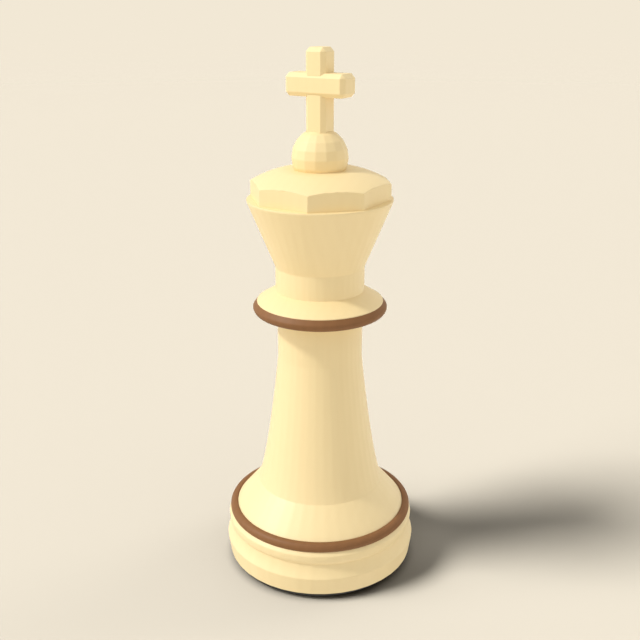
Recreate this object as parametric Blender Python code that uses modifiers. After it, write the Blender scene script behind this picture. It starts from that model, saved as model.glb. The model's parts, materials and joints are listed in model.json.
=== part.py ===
"""Chess king of turned boxwood with two dark rings, as an assembly of fifteen glued pieces.

Metres, +Z up. The origin is the middle of the felt's underside, the cross bar lies along X,
and the front is towards -Y. Each turned piece is a profile carried round Z by a Screw modifier.
"""

import math

import bmesh
import bpy
from mathutils import Vector

# Fineness: every turned piece has the same number of sides, so that fits stay even all round
TURNED_SIDES = 40
RING_ARC_STEPS = 10
FLARE_STEPS = 12
DOME_STEPS = 6
SHARP_ANGLE = math.radians(20.0)

# Clearances
FIT_GAP = 0.0001
END_GAP = 0.0002

# Felt pad
FELT_THICKNESS = 0.0012
FELT_INSET = 0.0011

# Base
BASE_RADIUS = 0.01810
BASE_WALL = 0.00910
BASE_HEIGHT = 0.00848
FOOT_TUCK = 0.0005
FOOT_HEIGHT = 0.00343
BEAD_HEIGHT = 0.00053
BEAD_INSET = 0.00044
GROOVE_DEPTH = 0.00041
GROOVE_BELOW_BEAD = 0.00187

# Base ring
BASE_RING_LEDGE = 0.00026
BASE_RING_SECTION = 0.00098
BASE_RING_TUCK = 0.00038
BASE_RING_LIFT = 0.00066

# Weight plug
PLUG_THICKNESS = 0.0015

# Shoulder
SHOULDER_HEIGHT = 0.00645
SHOULDER_EDGE = 0.00142
SHOULDER_WEB = 0.0016
SHOULDER_SPIGOT_WALL = 0.0034
SHOULDER_SPIGOT_LENGTH = 0.0018

# Stem
STEM_RADIUS = 0.00771
STEM_STRAIGHT = 0.00816
STEM_FOOT_RADIUS = 0.01175
FLARE_HEIGHT = 0.02527
FLARE_FOOT_INWARD = 0.0019
FLARE_FOOT_UPWARD = 0.0050
FLARE_TOP_DOWNWARD = 0.0010
STEM_TENON_RADIUS = 0.0050
STEM_TENON_LENGTH = 0.0030
COLLAR_TENON_RADIUS = 0.0040
COLLAR_TENON_LENGTH = 0.0036

# Collar and its ring
COLLAR_RING_RADIUS = 0.01207
COLLAR_RING_SECTION = 0.00106
COLLAR_RING_TUCK = 0.00071
COLLAR_LIP_INSET = 0.00069
COLLAR_LIP_EDGE = 0.00014
COLLAR_TOP_HEIGHT = 0.00205

# Crown
NECK_RADIUS = 0.00796
NECK_LENGTH = 0.00430
CUP_HEIGHT = 0.01208
RIM_RADIUS = 0.0128
RIM_EDGE = 0.0003

# Crown cap
CAP_SIDES = 8
CAP_LEDGE = 0.0004
CAP_SIDE_HEIGHT = 0.00275
CAP_DOME_HEIGHT = 0.00230
CAP_DOME_BULGE = 0.00026
CAP_PLATEAU_RADIUS = 0.0066
CAP_SPIGOT_RADIUS = 0.0060
CAP_SPIGOT_LENGTH = 0.0040

# Finial ball
BALL_RADIUS = 0.00496
BALL_SEGMENTS = 16
BALL_RINGS = 10
BALL_SINK = 0.00293
BALL_SEAT_DEPTH = 0.0012

# Cross
POST_WIDTH = 0.00394
POST_SEAT_DEPTH = 0.0015
POST_BELOW_BAR = 0.00513
POST_ABOVE_BAR = 0.00411
BAR_LENGTH = 0.01170
BAR_THICKNESS = 0.00447
BAR_HEIGHT = 0.00387
CROSS_CHAMFER = 0.00071

# Finial dowel
DOWEL_RADIUS = 0.0012
DOWEL_IN_CAP = 0.0058
DOWEL_IN_POST = 0.0042

# Colours, linear
BOXWOOD = (0.87, 0.66, 0.36, 1.0)
WALNUT = (0.22, 0.10, 0.042, 1.0)
DARK_FELT = (0.018, 0.017, 0.016, 1.0)
STEEL = (0.45, 0.45, 0.46, 1.0)

# Radii that follow from the base
FOOT_RADIUS = BASE_RADIUS - FOOT_TUCK
BEAD_RADIUS = BASE_RADIUS - BEAD_INSET
BASE_RING_RADIUS = BEAD_RADIUS - BASE_RING_LEDGE
BASE_RING_MIDDLE = BASE_RING_RADIUS - BASE_RING_SECTION
BASE_RING_FOOT = BASE_RING_MIDDLE + math.sqrt(BASE_RING_SECTION ** 2 - BASE_RING_LIFT ** 2)
BASE_RING_BORE = BASE_RING_MIDDLE - BASE_RING_TUCK
SHOULDER_RADIUS = BASE_RING_BORE - FIT_GAP
WEIGHT_BORE = BASE_RADIUS - BASE_WALL
WEIGHT_RADIUS = WEIGHT_BORE - FIT_GAP
SHOULDER_SPIGOT_RADIUS = WEIGHT_BORE + SHOULDER_SPIGOT_WALL

# Radii that follow from the collar and the rim
COLLAR_RING_MIDDLE = COLLAR_RING_RADIUS - COLLAR_RING_SECTION
COLLAR_RING_BORE = COLLAR_RING_MIDDLE - COLLAR_RING_TUCK
COLLAR_SPIGOT_RADIUS = COLLAR_RING_BORE - FIT_GAP
COLLAR_LIP_RADIUS = COLLAR_RING_RADIUS - COLLAR_LIP_INSET
CAP_CORNER_RADIUS = RIM_RADIUS - CAP_LEDGE

# Heights of the seats, from the ground up
BASE_BOTTOM = FELT_THICKNESS
BASE_TOP = BASE_BOTTOM + BASE_HEIGHT
SHOULDER_TOP = BASE_TOP + SHOULDER_HEIGHT
STEM_SOCKET_FLOOR = SHOULDER_TOP - STEM_TENON_LENGTH - END_GAP
WEIGHT_BOTTOM = BASE_BOTTOM + PLUG_THICKNESS
WEIGHT_BORE_TOP = STEM_SOCKET_FLOOR - SHOULDER_WEB
WEIGHT_TOP = WEIGHT_BORE_TOP - END_GAP
FLARE_TOP = SHOULDER_TOP + FLARE_HEIGHT
STEM_TOP = FLARE_TOP + STEM_STRAIGHT
COLLAR_LIP = STEM_TOP + 2.0 * COLLAR_RING_SECTION
COLLAR_TOP = COLLAR_LIP + COLLAR_LIP_EDGE + COLLAR_TOP_HEIGHT
COLLAR_TENON_TOP = COLLAR_TOP + COLLAR_TENON_LENGTH
NECK_TOP = COLLAR_TOP + NECK_LENGTH
RIM_TOP = NECK_TOP + CUP_HEIGHT
CAP_SPIGOT_BOTTOM = RIM_TOP - CAP_SPIGOT_LENGTH
CAP_CORNER_TOP = RIM_TOP + CAP_SIDE_HEIGHT
CAP_CROWN = CAP_CORNER_TOP + CAP_DOME_HEIGHT
BALL_SEAT = CAP_CROWN - BALL_SEAT_DEPTH
BALL_CENTRE = CAP_CROWN - BALL_SINK + BALL_RADIUS
BALL_TOP = BALL_CENTRE + BALL_RADIUS
POST_BOTTOM = BALL_TOP - POST_SEAT_DEPTH
BAR_BOTTOM = BALL_TOP + POST_BELOW_BAR
BAR_CENTRE = BAR_BOTTOM + BAR_HEIGHT / 2.0
POST_TOP = BAR_BOTTOM + BAR_HEIGHT + POST_ABOVE_BAR
DOWEL_BOTTOM = BALL_SEAT - DOWEL_IN_CAP
DOWEL_TOP = POST_BOTTOM + DOWEL_IN_POST
DOWEL_HOLE = DOWEL_RADIUS + FIT_GAP


def clear_scene():
    for old in list(bpy.data.objects):
        bpy.data.objects.remove(old, do_unlink=True)


def new_collection(name):
    collection = bpy.data.collections.new(name)
    bpy.context.scene.collection.children.link(collection)
    return collection


def new_material(name, colour, roughness, metallic=0.0):
    material = bpy.data.materials.new(name)
    material.use_nodes = True
    shader = material.node_tree.nodes["Principled BSDF"]
    shader.inputs["Base Color"].default_value = colour
    shader.inputs["Roughness"].default_value = roughness
    shader.inputs["Metallic"].default_value = metallic
    material.diffuse_color = colour
    return material


def arc(centre, radius, start, end, steps):
    """Points of an arc in the (radius, height) plane, angles in degrees from outward."""
    points = []
    for step in range(steps + 1):
        angle = math.radians(start + (end - start) * step / steps)
        points.append((centre[0] + radius * math.cos(angle), centre[1] + radius * math.sin(angle)))
    return points


def bezier(first, first_handle, last_handle, last, steps):
    """Points of a cubic curve in the (radius, height) plane."""
    points = []
    for step in range(steps + 1):
        t = step / steps
        weights = ((1 - t) ** 3, 3 * t * (1 - t) ** 2, 3 * t * t * (1 - t), t ** 3)
        corners = (first, first_handle, last_handle, last)
        radius = sum(w * c[0] for w, c in zip(weights, corners))
        height = sum(w * c[1] for w, c in zip(weights, corners))
        points.append((radius, height))
    return points


def turned(name, profile, collection, material=None, hollow=False):
    """A turned piece: the profile runs down the outer side; a hollow one closes on itself."""
    mesh = bpy.data.meshes.new(name)
    points = [(radius, 0.0, height) for radius, height in profile]
    edges = [(i, i + 1) for i in range(len(points) - 1)]
    if hollow:
        edges.append((len(points) - 1, 0))
    mesh.from_pydata(points, edges, [])
    piece = link_piece(name, mesh, collection, material)
    screw = piece.modifiers.new("Turn", "SCREW")
    screw.axis = "Z"
    screw.angle = math.tau
    screw.steps = TURNED_SIDES
    screw.render_steps = TURNED_SIDES
    screw.use_merge_vertices = True
    screw.merge_threshold = 0.000001
    return piece


def link_piece(name, mesh, collection, material):
    piece = bpy.data.objects.new(name, mesh)
    collection.objects.link(piece)
    if material is not None:
        mesh.materials.append(material)
    return piece


def rod(name, radius, top, bottom, collection, material=None):
    """A plain round rod on the axis."""
    profile = [(0.0, top), (radius, top), (radius, bottom), (0.0, bottom)]
    return turned(name, profile, collection, material)


def box(name, size, centre, collection, material=None, chamfer=0.0, chamfer_ends=()):
    """A box with its upright edges chamfered, and the edges round the ends named in chamfer_ends."""
    mesh = bpy.data.meshes.new(name)
    shape = bmesh.new()
    made = bmesh.ops.create_cube(shape, size=1.0)
    bmesh.ops.scale(shape, vec=Vector(size), verts=made["verts"])
    if chamfer > 0.0:
        edges = [edge for edge in shape.edges if edge_end(edge) in ("side",) + chamfer_ends]
        bmesh.ops.bevel(shape, geom=edges, offset=chamfer, segments=1, profile=0.5, affect="EDGES")
    shape.to_mesh(mesh)
    shape.free()
    piece = link_piece(name, mesh, collection, material)
    piece.location = centre
    return piece


def edge_end(edge):
    """Which end of a box an edge goes round: top, bottom, or side for an upright edge."""
    heights = [vert.co.z for vert in edge.verts]
    if min(heights) > 0.0:
        return "top"
    if max(heights) < 0.0:
        return "bottom"
    return "side"


def boolean(piece, cutter, operation):
    cutter.hide_render = True
    cutter.display_type = "WIRE"
    cut = piece.modifiers.new(operation.title() + " " + cutter.name, "BOOLEAN")
    cut.operation = operation
    cut.solver = "EXACT"
    cut.object = cutter


def shade_round(parts, names):
    """Applies the modifiers of the turned pieces, then smooths all but their creases."""
    for name in names:
        piece = parts.objects[name]
        profile = piece.data
        evaluated = piece.evaluated_get(bpy.context.evaluated_depsgraph_get())
        mesh = bpy.data.meshes.new_from_object(evaluated)
        mesh.shade_smooth()
        mesh.set_sharp_from_angle(angle=SHARP_ANGLE)
        piece.modifiers.clear()
        piece.data = mesh
        bpy.data.meshes.remove(profile)
        mesh.name = name


def make_felt_pad(parts, felt):
    rod("felt_pad", FOOT_RADIUS - FELT_INSET, BASE_BOTTOM, 0.0, parts, felt)


def make_weight(parts, wood, steel):
    rod("weight_plug", WEIGHT_RADIUS, WEIGHT_BOTTOM, BASE_BOTTOM, parts, wood)
    rod("base_weight", WEIGHT_RADIUS, WEIGHT_TOP, WEIGHT_BOTTOM, parts, steel)


def make_base(parts, wood):
    socket_radius = SHOULDER_SPIGOT_RADIUS + FIT_GAP
    socket_floor = BASE_TOP - SHOULDER_SPIGOT_LENGTH - END_GAP
    bead_edge = BASE_TOP - BEAD_HEIGHT
    profile = [
        (socket_radius, BASE_TOP),
        (BASE_RING_FOOT, BASE_TOP),
        (BEAD_RADIUS, bead_edge),
        (BEAD_RADIUS - GROOVE_DEPTH, bead_edge - GROOVE_BELOW_BEAD),
        (BASE_RADIUS, BASE_BOTTOM + FOOT_HEIGHT),
        (FOOT_RADIUS, BASE_BOTTOM),
        (WEIGHT_BORE, BASE_BOTTOM),
        (WEIGHT_BORE, socket_floor),
        (socket_radius, socket_floor),
    ]
    turned("base", profile, parts, wood, hollow=True)


def make_base_ring(parts, wood):
    """A half-round ring, flat underneath, that lies on the base and goes round the shoulder."""
    centre = (BASE_RING_MIDDLE, BASE_TOP + BASE_RING_LIFT)
    inner = math.degrees(math.acos(-BASE_RING_TUCK / BASE_RING_SECTION))
    lower = -math.degrees(math.asin(BASE_RING_LIFT / BASE_RING_SECTION))
    profile = arc(centre, BASE_RING_SECTION, inner, lower, RING_ARC_STEPS - 1)
    profile[-1] = (BASE_RING_FOOT, BASE_TOP)
    profile.append((BASE_RING_BORE, BASE_TOP))
    turned("base_ring", profile, parts, wood, hollow=True)


def make_shoulder(parts, wood):
    """A cone with a ring-shaped spigot in the base, the weight inside it and the stem on top."""
    socket_radius = STEM_TENON_RADIUS + FIT_GAP
    spigot_bottom = BASE_TOP - SHOULDER_SPIGOT_LENGTH
    profile = [
        (0.0, STEM_SOCKET_FLOOR),
        (socket_radius, STEM_SOCKET_FLOOR),
        (socket_radius, SHOULDER_TOP),
        (STEM_FOOT_RADIUS, SHOULDER_TOP),
        (SHOULDER_RADIUS, BASE_TOP + SHOULDER_EDGE),
        (SHOULDER_RADIUS, BASE_TOP),
        (SHOULDER_SPIGOT_RADIUS, BASE_TOP),
        (SHOULDER_SPIGOT_RADIUS, spigot_bottom),
        (WEIGHT_BORE, spigot_bottom),
        (WEIGHT_BORE, WEIGHT_BORE_TOP),
        (0.0, WEIGHT_BORE_TOP),
    ]
    turned("shoulder", profile, parts, wood)


def make_stem(parts, wood):
    """The column: a tenon in the shoulder, a flared foot, and a tenon through collar and neck."""
    flare = bezier(
        (STEM_RADIUS, FLARE_TOP),
        (STEM_RADIUS, FLARE_TOP - FLARE_TOP_DOWNWARD),
        (STEM_FOOT_RADIUS - FLARE_FOOT_INWARD, SHOULDER_TOP + FLARE_FOOT_UPWARD),
        (STEM_FOOT_RADIUS, SHOULDER_TOP),
        FLARE_STEPS,
    )
    tenon_bottom = SHOULDER_TOP - STEM_TENON_LENGTH
    profile = [
        (0.0, COLLAR_TENON_TOP),
        (COLLAR_TENON_RADIUS, COLLAR_TENON_TOP),
        (COLLAR_TENON_RADIUS, STEM_TOP),
        (STEM_RADIUS, STEM_TOP),
    ]
    profile += flare
    profile += [
        (STEM_TENON_RADIUS, SHOULDER_TOP),
        (STEM_TENON_RADIUS, tenon_bottom),
        (0.0, tenon_bottom),
    ]
    turned("stem", profile, parts, wood)


def make_collar(parts, wood):
    """A disc with a conical top, whose lip holds the ring down on the spigot."""
    bore = COLLAR_TENON_RADIUS + FIT_GAP
    profile = [
        (bore, COLLAR_TOP),
        (NECK_RADIUS, COLLAR_TOP),
        (COLLAR_LIP_RADIUS, COLLAR_LIP + COLLAR_LIP_EDGE),
        (COLLAR_LIP_RADIUS, COLLAR_LIP),
        (COLLAR_SPIGOT_RADIUS, COLLAR_LIP),
        (COLLAR_SPIGOT_RADIUS, STEM_TOP),
        (bore, STEM_TOP),
    ]
    turned("collar", profile, parts, wood, hollow=True)


def make_collar_ring(parts, wood):
    centre = (COLLAR_RING_MIDDLE, STEM_TOP + COLLAR_RING_SECTION)
    profile = [(COLLAR_RING_BORE, COLLAR_LIP), (COLLAR_RING_MIDDLE, COLLAR_LIP)]
    profile += arc(centre, COLLAR_RING_SECTION, 90.0, -90.0, RING_ARC_STEPS)[1:-1]
    profile += [(COLLAR_RING_MIDDLE, STEM_TOP), (COLLAR_RING_BORE, STEM_TOP)]
    turned("collar_ring", profile, parts, wood, hollow=True)


def make_crown(parts, wood):
    """Neck and cup in one, with a socket below for the stem and one above for the cap."""
    cap_socket_radius = CAP_SPIGOT_RADIUS + FIT_GAP
    cap_socket_floor = CAP_SPIGOT_BOTTOM - END_GAP
    stem_socket_radius = COLLAR_TENON_RADIUS + FIT_GAP
    stem_socket_top = COLLAR_TENON_TOP + END_GAP
    profile = [
        (0.0, cap_socket_floor),
        (cap_socket_radius, cap_socket_floor),
        (cap_socket_radius, RIM_TOP),
        (RIM_RADIUS, RIM_TOP),
        (RIM_RADIUS, RIM_TOP - RIM_EDGE),
        (NECK_RADIUS, NECK_TOP),
        (NECK_RADIUS, COLLAR_TOP),
        (stem_socket_radius, COLLAR_TOP),
        (stem_socket_radius, stem_socket_top),
        (0.0, stem_socket_top),
    ]
    turned("crown", profile, parts, wood)


def make_crown_cap(parts, cutters, wood):
    """A low dome with a level top and its sides cut to flats, bored for the dowel under the ball."""
    blank_radius = CAP_CORNER_RADIUS / math.cos(math.pi / TURNED_SIDES) + END_GAP
    ball_reach = max(0.0, BALL_CENTRE - CAP_CROWN)
    seat_radius = math.sqrt(BALL_RADIUS ** 2 - ball_reach ** 2)
    profile = [
        (0.0, DOWEL_BOTTOM),
        (DOWEL_HOLE, DOWEL_BOTTOM),
        (DOWEL_HOLE, BALL_SEAT),
        (seat_radius, BALL_SEAT),
    ]
    profile.append((seat_radius, CAP_CROWN))
    for step in range(DOME_STEPS + 1):
        radius = CAP_PLATEAU_RADIUS + (blank_radius - CAP_PLATEAU_RADIUS) * step / DOME_STEPS
        share = (radius - CAP_PLATEAU_RADIUS) / (CAP_CORNER_RADIUS - CAP_PLATEAU_RADIUS)
        bulge = 4.0 * CAP_DOME_BULGE * share * (1.0 - share)
        profile.append((radius, CAP_CROWN - CAP_DOME_HEIGHT * share + bulge))
    profile += [
        (blank_radius, RIM_TOP),
        (CAP_SPIGOT_RADIUS, RIM_TOP),
        (CAP_SPIGOT_RADIUS, CAP_SPIGOT_BOTTOM),
        (0.0, CAP_SPIGOT_BOTTOM),
    ]
    cap = turned("crown_cap", profile, parts, wood)

    prism_bottom = CAP_SPIGOT_BOTTOM - END_GAP
    prism_top = CAP_CROWN + END_GAP
    mesh = bpy.data.meshes.new("cap_flats")
    shape = bmesh.new()
    bmesh.ops.create_cone(
        shape,
        cap_ends=True,
        segments=CAP_SIDES,
        radius1=CAP_CORNER_RADIUS,
        radius2=CAP_CORNER_RADIUS,
        depth=prism_top - prism_bottom,
    )
    shape.to_mesh(mesh)
    shape.free()
    prism = link_piece("cap_flats", mesh, cutters, None)
    prism.location = (0.0, 0.0, (prism_top + prism_bottom) / 2.0)
    prism.rotation_euler = (0.0, 0.0, math.pi / CAP_SIDES)
    boolean(cap, prism, "INTERSECT")


def make_finial_ball(parts, cutters, wood):
    """A faceted ball, cut flat where it sits in the cap, with a mortise for the post on top."""
    mesh = bpy.data.meshes.new("finial_ball")
    shape = bmesh.new()
    bmesh.ops.create_uvsphere(shape, u_segments=BALL_SEGMENTS, v_segments=BALL_RINGS, radius=BALL_RADIUS)
    shape.to_mesh(mesh)
    shape.free()
    ball = link_piece("finial_ball", mesh, parts, wood)
    ball.location = (0.0, 0.0, BALL_CENTRE)

    across = 4.0 * BALL_RADIUS
    flat_centre = (0.0, 0.0, BALL_SEAT - across / 2.0)
    boolean(ball, box("ball_flat", (across, across, across), flat_centre, cutters), "DIFFERENCE")
    hole = rod("ball_hole", DOWEL_HOLE, BALL_CENTRE + across, BALL_CENTRE - across, cutters)
    boolean(ball, hole, "DIFFERENCE")

    width = POST_WIDTH + 2.0 * FIT_GAP
    chamfer = CROSS_CHAMFER + (2.0 - math.sqrt(2.0)) * FIT_GAP
    height = POST_TOP - POST_BOTTOM
    centre = (0.0, 0.0, (POST_TOP + POST_BOTTOM) / 2.0)
    mortise = box("ball_mortise", (width, width, height), centre, cutters, chamfer=chamfer)
    boolean(ball, mortise, "DIFFERENCE")


def make_cross_post(parts, cutters, wood):
    """The upright: halved at the front for the bar, bored underneath for the dowel."""
    size = (POST_WIDTH, POST_WIDTH, POST_TOP - POST_BOTTOM)
    centre = (0.0, 0.0, (POST_TOP + POST_BOTTOM) / 2.0)
    post = box("cross_post", size, centre, parts, wood, CROSS_CHAMFER, ("top",))

    notch_size = (2.0 * POST_WIDTH, POST_WIDTH, BAR_HEIGHT + 2.0 * FIT_GAP)
    notch = box("post_notch", notch_size, (0.0, -POST_WIDTH / 2.0, BAR_CENTRE), cutters)
    boolean(post, notch, "DIFFERENCE")
    bore = rod("post_bore", DOWEL_HOLE, DOWEL_TOP + END_GAP, POST_BOTTOM - DOWEL_IN_POST, cutters)
    boolean(post, bore, "DIFFERENCE")


def make_cross_bar(parts, cutters, wood):
    """The cross piece: halved at the back for the post."""
    size = (BAR_LENGTH, BAR_THICKNESS, BAR_HEIGHT)
    centre = (0.0, 0.0, BAR_CENTRE)
    bar = box("cross_bar", size, centre, parts, wood, CROSS_CHAMFER, ("top", "bottom"))

    notch_size = (POST_WIDTH + 2.0 * FIT_GAP, BAR_THICKNESS, 2.0 * BAR_HEIGHT)
    notch = box("bar_notch", notch_size, (0.0, BAR_THICKNESS / 2.0, BAR_CENTRE), cutters)
    boolean(bar, notch, "DIFFERENCE")


def main():
    clear_scene()
    parts = new_collection("chess_king")
    cutters = new_collection("chess_king_cutters")
    pale_wood = new_material("pale_boxwood", BOXWOOD, 0.42)
    dark_wood = new_material("dark_walnut", WALNUT, 0.40)
    felt = new_material("dark_felt", DARK_FELT, 0.95)
    steel = new_material("steel", STEEL, 0.45, 1.0)

    make_felt_pad(parts, felt)
    make_weight(parts, pale_wood, steel)
    make_base(parts, pale_wood)
    make_base_ring(parts, dark_wood)
    make_shoulder(parts, pale_wood)
    make_stem(parts, pale_wood)
    make_collar(parts, pale_wood)
    make_collar_ring(parts, dark_wood)
    make_crown(parts, pale_wood)
    make_crown_cap(parts, cutters, pale_wood)
    make_finial_ball(parts, cutters, pale_wood)
    make_cross_post(parts, cutters, pale_wood)
    make_cross_bar(parts, cutters, pale_wood)
    rod("finial_dowel", DOWEL_RADIUS, DOWEL_TOP, DOWEL_BOTTOM, parts, pale_wood)
    square_cut = ("finial_ball", "cross_post", "cross_bar")
    shade_round(parts, [piece.name for piece in parts.objects if piece.name not in square_cut])


main()
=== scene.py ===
"""Looks of the chess king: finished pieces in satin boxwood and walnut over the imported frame.

Metres, +Z up, the same frame as the solids: the origin is the middle of the felt's underside,
the cross bar lies along X, and the front is towards -Y.
"""

import json
import math

import bmesh
import bpy
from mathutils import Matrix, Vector

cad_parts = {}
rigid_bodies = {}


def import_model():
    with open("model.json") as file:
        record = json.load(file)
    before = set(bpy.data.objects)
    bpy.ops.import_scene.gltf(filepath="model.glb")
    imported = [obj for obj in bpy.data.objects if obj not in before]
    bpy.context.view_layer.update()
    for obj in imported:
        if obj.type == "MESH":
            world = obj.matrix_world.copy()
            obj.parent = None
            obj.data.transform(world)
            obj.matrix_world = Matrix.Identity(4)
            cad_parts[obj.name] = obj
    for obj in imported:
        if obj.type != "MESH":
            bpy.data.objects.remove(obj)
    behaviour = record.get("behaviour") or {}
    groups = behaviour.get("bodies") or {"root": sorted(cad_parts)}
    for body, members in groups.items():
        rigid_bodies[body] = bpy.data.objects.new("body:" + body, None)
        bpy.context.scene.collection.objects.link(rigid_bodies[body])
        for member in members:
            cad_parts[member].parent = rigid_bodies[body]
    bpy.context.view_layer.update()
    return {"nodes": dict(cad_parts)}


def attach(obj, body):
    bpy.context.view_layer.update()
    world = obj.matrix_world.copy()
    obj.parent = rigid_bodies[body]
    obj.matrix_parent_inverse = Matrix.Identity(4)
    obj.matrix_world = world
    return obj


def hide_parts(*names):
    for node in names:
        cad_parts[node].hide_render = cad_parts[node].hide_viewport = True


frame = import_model()

# Camera, at the photograph's angle
CAMERA_AZIMUTH = math.radians(32.0)
CAMERA_PITCH = math.radians(19.657)
CAMERA_DISTANCE = 0.1525
CAMERA_HEIGHT = 0.1022
CAMERA_LENS = 50.0
CAMERA_NEAR = 0.01
CAMERA_FAR = 100.0

# King's lamps, with bearings measured from the camera's right-hand side towards the back
KEY_BEARING = math.radians(191.3)
KEY_ELEVATION = math.radians(45.0)
KEY_SOFTNESS = math.radians(7.0)
KEY_STRENGTH = 1.88
SIDE_ELEVATION = math.radians(10.0)
SIDE_SOFTNESS = math.radians(60.0)
SIDE_STRENGTH = 0.75
BACK_PLACE = (0.136, 0.063, 0.04)
BACK_SIZE = 0.03
BACK_POWER = 0.142
BACK_COLOUR = (0.92, 1.0, 1.32)
FILL_BEARING = math.radians(315.0)
FILL_ELEVATION = math.radians(-66.0)
FILL_SOFTNESS = math.radians(60.0)
FILL_STRENGTH = 0.44
TOP_ELEVATION = math.radians(75.0)
TOP_SOFTNESS = math.radians(50.0)
TOP_STRENGTH = 0.16

# Floor's own lamps, stronger than the king's, so that its shadow reads as deep
FLOOR_KEY_BEARING = math.radians(190.6)
FLOOR_KEY_ELEVATION = math.radians(48.5)
FLOOR_KEY_SOFTNESS = math.radians(19.5)
FLOOR_KEY_STRENGTH = 27.2
FLOOR_SIDE_ELEVATION = math.radians(26.0)
FLOOR_SIDE_SOFTNESS = math.radians(41.0)
FLOOR_SIDE_STRENGTH = 16.7
FLOOR_BACK_BEARING = math.radians(30.0)
FLOOR_BACK_ELEVATION = math.radians(19.5)
FLOOR_BACK_SOFTNESS = math.radians(30.0)
FLOOR_BACK_STRENGTH = 5.3
BOUNCE_PLACE = (0.0231, 0.0008, 0.0132)
BOUNCE_SIZE = 0.0066
BOUNCE_POWER = 0.0100

# Floor: its colour, the even glow that it gives the king in place of thrown-back light, its fade, and
# the shade painted into its colour close to the king
FLOOR_SIZE = 6.0
FLOOR_COLOUR = (0.0880, 0.07995, 0.0659, 1.0)
FLOOR_SHADE = (0.0, 0.0, 0.0, 1.0)
# The floor glows in this colour for the king's diffuse rays: painted light in place of its bounce
FLOOR_GLOW = (0.88, 0.81, 0.70, 1.0)
FLOOR_FADE_START = 0.6
FLOOR_FADE_END = 2.5
NEAR_REACH = 0.08
NEAR_DEPTH = 0.27
CONTACT_REACH = 0.0019
CONTACT_DEPTH = 0.62
OPENNESS_SAMPLES = 16

# Surround
SURROUND_COLOUR = (1.0, 1.0, 1.0, 1.0)
SURROUND_STRENGTH = 0.77
BACKDROP = (0.888, 0.807, 0.665, 1.0)

# Fits between the pieces: a sliding fit, a socket's end, and a joint glued up tight
FIT_GAP = 0.0001
END_GAP = 0.0002
GLUE_LINE = 0.00002

# Turned flats: the lathe work has soft flats all round, with rounded corners between them
TURNED_FLATS = 40
FLAT_ROUNDING = 20.0
FLAT_CORNER_STEPS = 3
RING_SIDES = 160

# Eased edges: how far and in how many steps one is rounded off, and the angle that shading smooths over
FINE_EASE = 0.00006
SOFT_EASE = 0.00014
EASE_STEPS = 2
ROUND_STEPS = 3
SMOOTH_ANGLE = math.radians(35.0)

# Finding edges: how near counts as level, as the same radius (a share of it) and as upright
LEVEL_TOLERANCE = 0.000002
RADIUS_TOLERANCE = 0.006
UPRIGHT_TOLERANCE = 0.01

# Base and felt
FELT_TOP = 0.0012
FELT_RADIUS = 0.0165
FELT_EDGE = 0.0003
BASE_TOP = 0.00976
BASE_RADIUS = 0.0181
FOOT_RADIUS = 0.0176
FOOT_CREASE = 0.00463
BEAD_RADIUS = 0.01766
BEAD_EDGE = 0.00915
BEAD_BELLY = ((0.01765, 0.0086), (0.01761, 0.0081), (0.01753, 0.00768))
GROOVE_RADIUS = 0.01724
GROOVE_HEIGHT = 0.00728
GROOVE_SWEEP_HANDLES = ((0.01731, 0.00638), (0.0176, 0.0055))
GROOVE_SWEEP_STEPS = 8
WEIGHT_BORE = 0.0090

# Base ring
BASE_RING_SECTION = 0.00093
BASE_RING_MIDDLE = (0.01643, 0.01038)
BASE_RING_BORE = 0.01604
BASE_RING_STEPS = 24

# Shoulder
SHOULDER_TOP = 0.01613
SHOULDER_RADIUS = 0.01602
SHOULDER_EDGE = 0.0111
SHOULDER_SPIGOT = 0.0124
SHOULDER_SPIGOT_BOTTOM = 0.00788
SHOULDER_WEB_BOTTOM = 0.01133

# Stem
STEM_RADIUS = 0.00771
STEM_FOOT_RADIUS = 0.01175
STEM_TOP = 0.04956
FLARE_TOP = 0.0414
FLARE_FOOT_HANDLE = (0.00985, 0.02113)
FLARE_TOP_HANDLE = (0.00771, 0.0404)
FLARE_STEPS = 24
STEM_TENON = 0.0050
STEM_TENON_BOTTOM = 0.01313
COLLAR_TENON = 0.0040

# Collar and its ring, which is rounded underneath between two angles below level, in degrees
COLLAR_RING_SECTION = 0.00106
COLLAR_RING_MIDDLE = (0.01101, 0.05062)
COLLAR_RING_BORE = 0.0103
COLLAR_RING_EDGE = 0.0114
COLLAR_RING_RADIUS = 0.01207
COLLAR_RING_BROW = 0.05088
COLLAR_RING_CHIN = 0.05042
COLLAR_RING_ROUND_START = -25.0
COLLAR_RING_ROUND_END = -90.0
COLLAR_RING_STEPS = 12
COLLAR_LIP = 0.05168
COLLAR_LIP_RADIUS = 0.01138
COLLAR_LIP_TOP = 0.05182
COLLAR_TOP = 0.05387

# Crown
NECK_RADIUS = 0.00796
NECK_TOP = 0.05817
RIM_RADIUS = 0.0128
RIM_TOP = 0.07025
RIM_EDGE = 0.0003
CROWN_SOCKET_TOP = 0.05767

# Crown cap, turned from a round blank and then planed to flats
CAP_SIDES = 8
CAP_BLANK_SIDES = 120
CAP_BLANK_EXCESS = 0.0004
CAP_CORNER_RADIUS = 0.0124
CAP_CROWN = 0.0753
CAP_PLATEAU_RADIUS = 0.0066
CAP_PLATEAU_EASE = 0.0006
CAP_PLATEAU_STEPS = 4
CAP_DOME_HEIGHT = 0.0023
CAP_DOME_BULGE = 0.00026
CAP_DOME_STEPS = 10
CAP_SEAT = 0.0741
CAP_SPIGOT = 0.0060
CAP_SPIGOT_BOTTOM = 0.06625
CAP_FLAT_SHARE = 0.98
CAP_ARRIS_ANGLE = math.radians(15.0)

# Finial ball
BALL_RADIUS = 0.00496
BALL_CENTRE = 0.07733
BALL_FLATS = 16
BALL_TIERS = 10
BALL_ROUNDING = 9.0

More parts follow.
